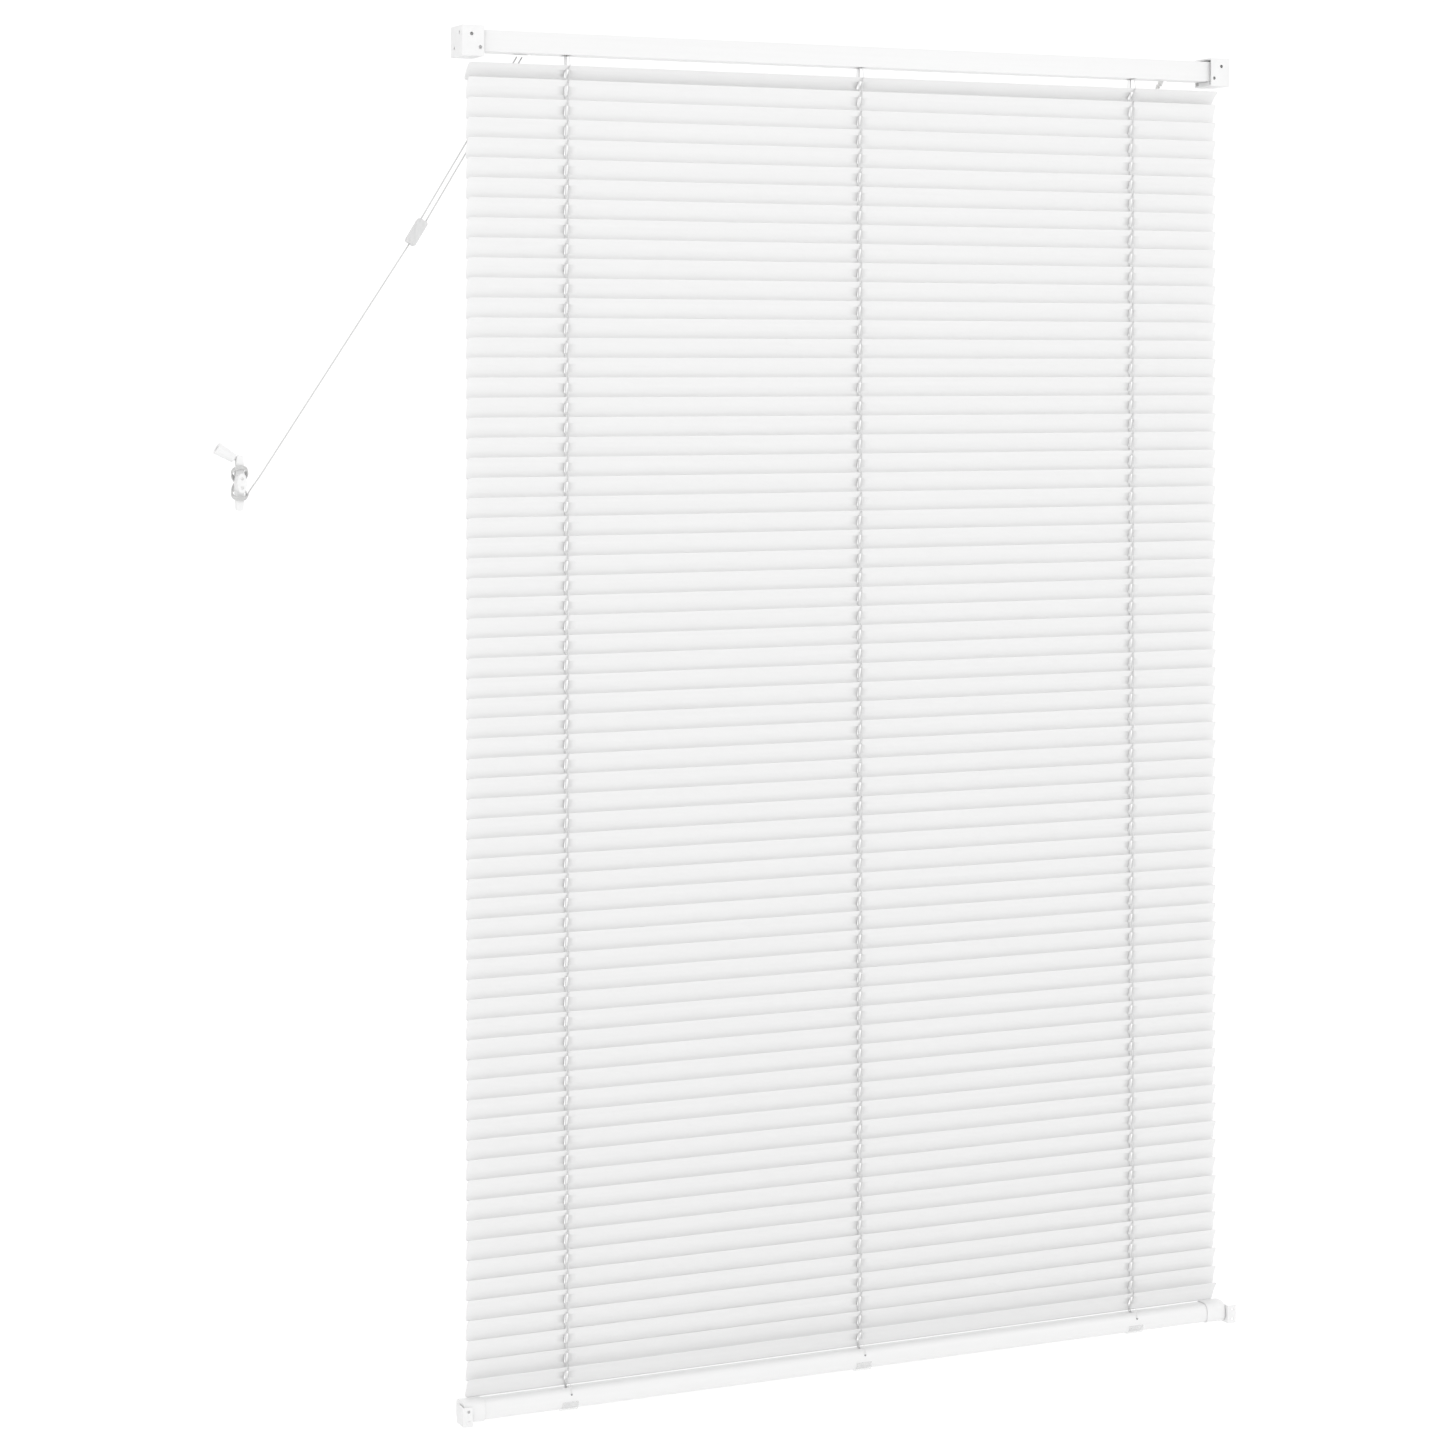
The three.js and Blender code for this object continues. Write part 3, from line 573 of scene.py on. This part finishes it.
# Strings overlap their neighbours' ends a little, and stop clear of the slats' edges.
STRING_OVERLAP = 0.2
STRING_CLEAR = 1.0
NEAR_EXIT_Y = 10.5
FAR_EXIT_Y = 24


def group_strings(group, numbers):
    """A group's near and far strings at the three ladders, half a pitch past its first and last slats."""
    first, last = numbers[0], numbers[-1]
    near_top = edge(first, -HALF_WIDTH)[1] + SLAT_PITCH / 2 + STRING_OVERLAP
    near_bottom = edge(last, -HALF_WIDTH)[1] - SLAT_PITCH / 2 - STRING_OVERLAP
    far_top = edge(first, HALF_WIDTH)[1] + SLAT_PITCH / 2 + STRING_OVERLAP
    far_bottom = edge(last, HALF_WIDTH)[1] - SLAT_PITCH / 2 - STRING_OVERLAP
    if group == 1:  # above the second slat they slant to the first one
        near_top = edge(2, -HALF_WIDTH)[1] + 1
        far_top = edge(2, HALF_WIDTH)[1] + 1
    if last == SLAT_COUNT:  # below the last slat they go on to the bottom rail
        near_bottom = edge(last, -HALF_WIDTH)[1] - 1
        far_bottom = edge(last - 1, HALF_WIDTH)[1] - 4
    near_routes, far_routes = [], []
    for x in LADDER_X:
        side = x + STRING_SIDE
        near_start, far_start = mm(side, NEAR_Y, near_top), mm(side, FAR_Y, far_top)
        near_routes.append(straight(near_start, mm(side, NEAR_Y, near_bottom), 3))
        far_routes.append(straight(far_start, mm(side, FAR_Y, far_bottom), 3))
        if group == 1:
            near_routes.append(straight(near_start, mm(side, *edge(1, -HALF_WIDTH, STRING_CLEAR)), 5))
            far_routes.append(straight(far_start, mm(side, *edge(1, HALF_WIDTH, STRING_CLEAR)), 5))
    near = tubes(f"near_strings_{group:02d}_braid", near_routes, STRING, STRING_WHITE, 8)
    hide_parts(f"near_string_{group:02d}")
    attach(near, f"near_strings_{group:02d}")
    far = tubes(f"far_strings_{group:02d}_braid", far_routes, STRING, STRING_WHITE, 8)
    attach(far, f"slat_group_{group:02d}")


for group, numbers in GROUPS:
    group_strings(group, numbers)

# The strings' ends, from the headrail to the first slat and from the last slat to the bottom rail.
LAST_NEAR_Z = edge(SLAT_COUNT, -HALF_WIDTH)[1] - 1
near_tops, far_tops, near_ends, hole_spots = [], [], [], []
for x in LADDER_X:
    side = x + STRING_SIDE
    near_exit = mm(side, NEAR_EXIT_Y, HEADRAIL_BOTTOM + 3)
    far_exit = mm(side, FAR_EXIT_Y, HEADRAIL_BOTTOM + 3)
    near_tops.append(straight(near_exit, mm(side, *edge(1, -HALF_WIDTH, STRING_CLEAR)), 8))
    far_tops.append(straight(far_exit, mm(side, *edge(1, HALF_WIDTH, STRING_CLEAR)), 8))
    hole = mm(x + STRING_HOLE[0], STRING_HOLE[1], STRING_HOLE[2])
    near_ends.append(straight(mm(side, NEAR_Y, LAST_NEAR_Z), hole, 12))
    hole_spots.append([hole + mm(0, 0.5, 0), hole - mm(0, 0.1, 0)])
near_top = tubes("near_string_tops_braid", near_tops, STRING, STRING_WHITE, 8)
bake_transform(near_top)
far_top = tubes("far_string_tops_braid", far_tops, STRING, STRING_WHITE, 8)
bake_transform(far_top)
near_end = tubes("near_string_ends_braid", near_ends, STRING, STRING_WHITE, 8)
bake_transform(near_end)
# Dark discs at the string holes in the bottom rail: painted shade for the shaded inside of the holes.
holes = tubes("painted_hole_shade_discs", hole_spots, STRING_HOLE_WIDTH, SHADE, 12)
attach(holes, "rail")

# The lift cords, from the headrail to the bottom rail.
LIFT_CORD_TOP = HEADRAIL_BOTTOM + 4
LIFT_CORD_BOTTOM = BOTTOM_RAIL_TOP - 2
for name, x in zip(LADDER_NAMES, LADDER_X):
    route = straight(mm(x, LIFT_CORD_Y, LIFT_CORD_TOP), mm(x, LIFT_CORD_Y, LIFT_CORD_BOTTOM), 40)
    piece = tubes(f"lift_cord_{name}_braid", [route], LIFT_CORD, LIFT_WHITE, 10)
    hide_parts(f"lift_cord_{name}")
    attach(piece, "root")
    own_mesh(piece)


# ---- moulded and rolled parts: the CAD shape with its edges rounded ----
BODIES = frame["record"]["behaviour"]["bodies"]
BODY_OF_NODE = {node: body for body, nodes in BODIES.items() for node in nodes}


def rounded(node, material, bevel, angle=35, segments=3):
    """A finer copy of a CAD node, its sharp edges rounded."""
    source = frame["nodes"][node]
    mesh = source.data.copy()
    mesh.materials.clear()
    mesh.materials.append(material)
    obj = new_object(node + "_finish", mesh, material)
    obj.matrix_world = source.matrix_world
    clean = bmesh.new()
    clean.from_mesh(mesh)
    bmesh.ops.remove_doubles(clean, verts=clean.verts, dist=1e-6)
    bmesh.ops.dissolve_limit(clean, angle_limit=radians(1), verts=clean.verts, edges=clean.edges)
    clean.to_mesh(mesh)
    clean.free()
    if bevel:
        modifier = obj.modifiers.new("rounding", "BEVEL")
        modifier.width = bevel * MM
        modifier.segments = segments
        modifier.limit_method = "ANGLE"
        modifier.angle_limit = radians(angle)
        modifier.harden_normals = False
        modifier.use_clamp_overlap = True
        bpy.context.view_layer.update()
        depsgraph = bpy.context.evaluated_depsgraph_get()
        finished = bpy.data.meshes.new_from_object(obj.evaluated_get(depsgraph))
        obj.modifiers.clear()
        obj.data = finished
    obj.data.shade_smooth()
    obj.data.set_sharp_from_angle(angle=radians(angle))
    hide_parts(node)
    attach(obj, BODY_OF_NODE[node])
    return obj


for side in ("left", "right"):
    rounded(f"box_bracket_{side}", PLASTIC, 0.5)
    rounded(f"bracket_door_{side}", PLASTIC, 0.4)
    rounded(f"headrail_end_cap_{side}", INNER, 0.3)
    rounded(f"rail_end_cap_{side}", PLASTIC, 0.5)
    rounded(f"hold_down_bracket_{side}", PLASTIC, 0.35)
rounded("headrail", RAIL, 0.35)
rounded("bottom_rail", RAIL, 0.2)
rounded("cord_lock_housing", INNER, 0.3)
rounded("tilter_housing", INNER, 0.3)
SCREW_WIDTH = 3.2
SCREW_Y = (0.4, 14.6)
SCREW_HALF_SPACING = 5
screw_routes = []
for rise in (-SCREW_HALF_SPACING, SCREW_HALF_SPACING):
    screw_routes.append([mm(CLEAT_X, y, CLEAT_Z + rise) for y in SCREW_Y])
screws = tubes("cleat_screws", screw_routes, SCREW_WIDTH, INNER, 16)
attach(screws, "root")
connector = rounded("cord_connector", SMOKED, 0.8, segments=4)
rounded("cord_cleat", PLASTIC, 0.8, segments=4)
tassel = rounded("cord_tassel", PLASTIC, 0.8, segments=4)
rounded("wand", CLEAR, 0.4)
rounded("wand_grip", INNER, 0.6)
for name in LADDER_NAMES:
    rounded(f"ladder_clip_{name}", FAINT, 0.3)

# ---- CAD nodes that stay as they are, with their own finish ----
KEPT = {f"ladder_{part}_{name}": INNER for part in ("cradle", "drum") for name in LADDER_NAMES}
KEPT |= {"worm_gear": INNER, "tilter_stem": INNER, "wand_hook": INNER}
KEPT |= {"tilt_rod": STEEL, "cord_lock_roller": STEEL}
for node, material in KEPT.items():
    for material_slot in frame["nodes"][node].material_slots:
        material_slot.material = material


# ---- stage: floor, backdrop and soft light ----
def stage_sweep():
    """A floor that curves up into a backdrop behind the blind."""
    floor, front, back, rise, radius, half_width = -1.72, -9.0, 6.0, 7.0, 2.0, 12
    bend_steps = 12
    profile = [(front, floor)]
    for i in range(bend_steps + 1):
        angle = pi / 2 * i / bend_steps
        profile.append((back - radius + radius * sin(angle), floor + radius - radius * cos(angle)))
    profile.append((back, floor + rise))
    turn = Matrix.Rotation(CAMERA_HEADING, 4, "Z")
    vertices = [turn @ Vector((x, y, z)) for y, z in profile for x in (-half_width, half_width)]
    faces = [(2 * i, 2 * i + 1, 2 * i + 3, 2 * i + 2) for i in range(len(profile) - 1)]
    sweep_material, tree, shader = new_material("stage_paper", (0.97, 0.97, 0.97), 0.9)
    cloud = texture(tree, "ShaderNodeTexNoise", Scale=1.5, Detail=2.0)
    colour = ramp(tree, cloud.outputs["Fac"], (0.96, 0.96, 0.96), (0.98, 0.98, 0.98))
    tree.links.new(colour, shader.inputs["Base Color"])
    return new_object("stage_sweep", mesh_of("stage_sweep", vertices, faces), sweep_material)


stage_sweep()


def area_light(name, location, target, size, power):
    data = bpy.data.lights.new(name, "AREA")
    data.shape = "RECTANGLE"
    data.size, data.size_y = size
    data.energy = power
    light = bpy.data.objects.new(name, data)
    bpy.context.scene.collection.objects.link(light)
    light.location = location
    light.rotation_euler = (Vector(target) - Vector(location)).to_track_quat("-Z", "Y").to_euler()


area_light("key", (-2.4, -4.6, 0.6), (0, 0, -1.3), (4.0, 4.0), 40)
area_light("fill", (3.2, -3.8, -0.2), (0, 0, -1.0), (3.0, 3.0), 16)
area_light("back", (0.5, 3.4, 2.4), (0, 3, -0.8), (4.0, 2.5), 25)

world = bpy.data.worlds.new("studio")
bpy.context.scene.world = world
world.use_nodes = True
world.node_tree.nodes["Background"].inputs["Color"].default_value = (1, 1, 1, 1)
world.node_tree.nodes["Background"].inputs["Strength"].default_value = 1.0
bpy.context.scene.view_settings.view_transform = "Standard"
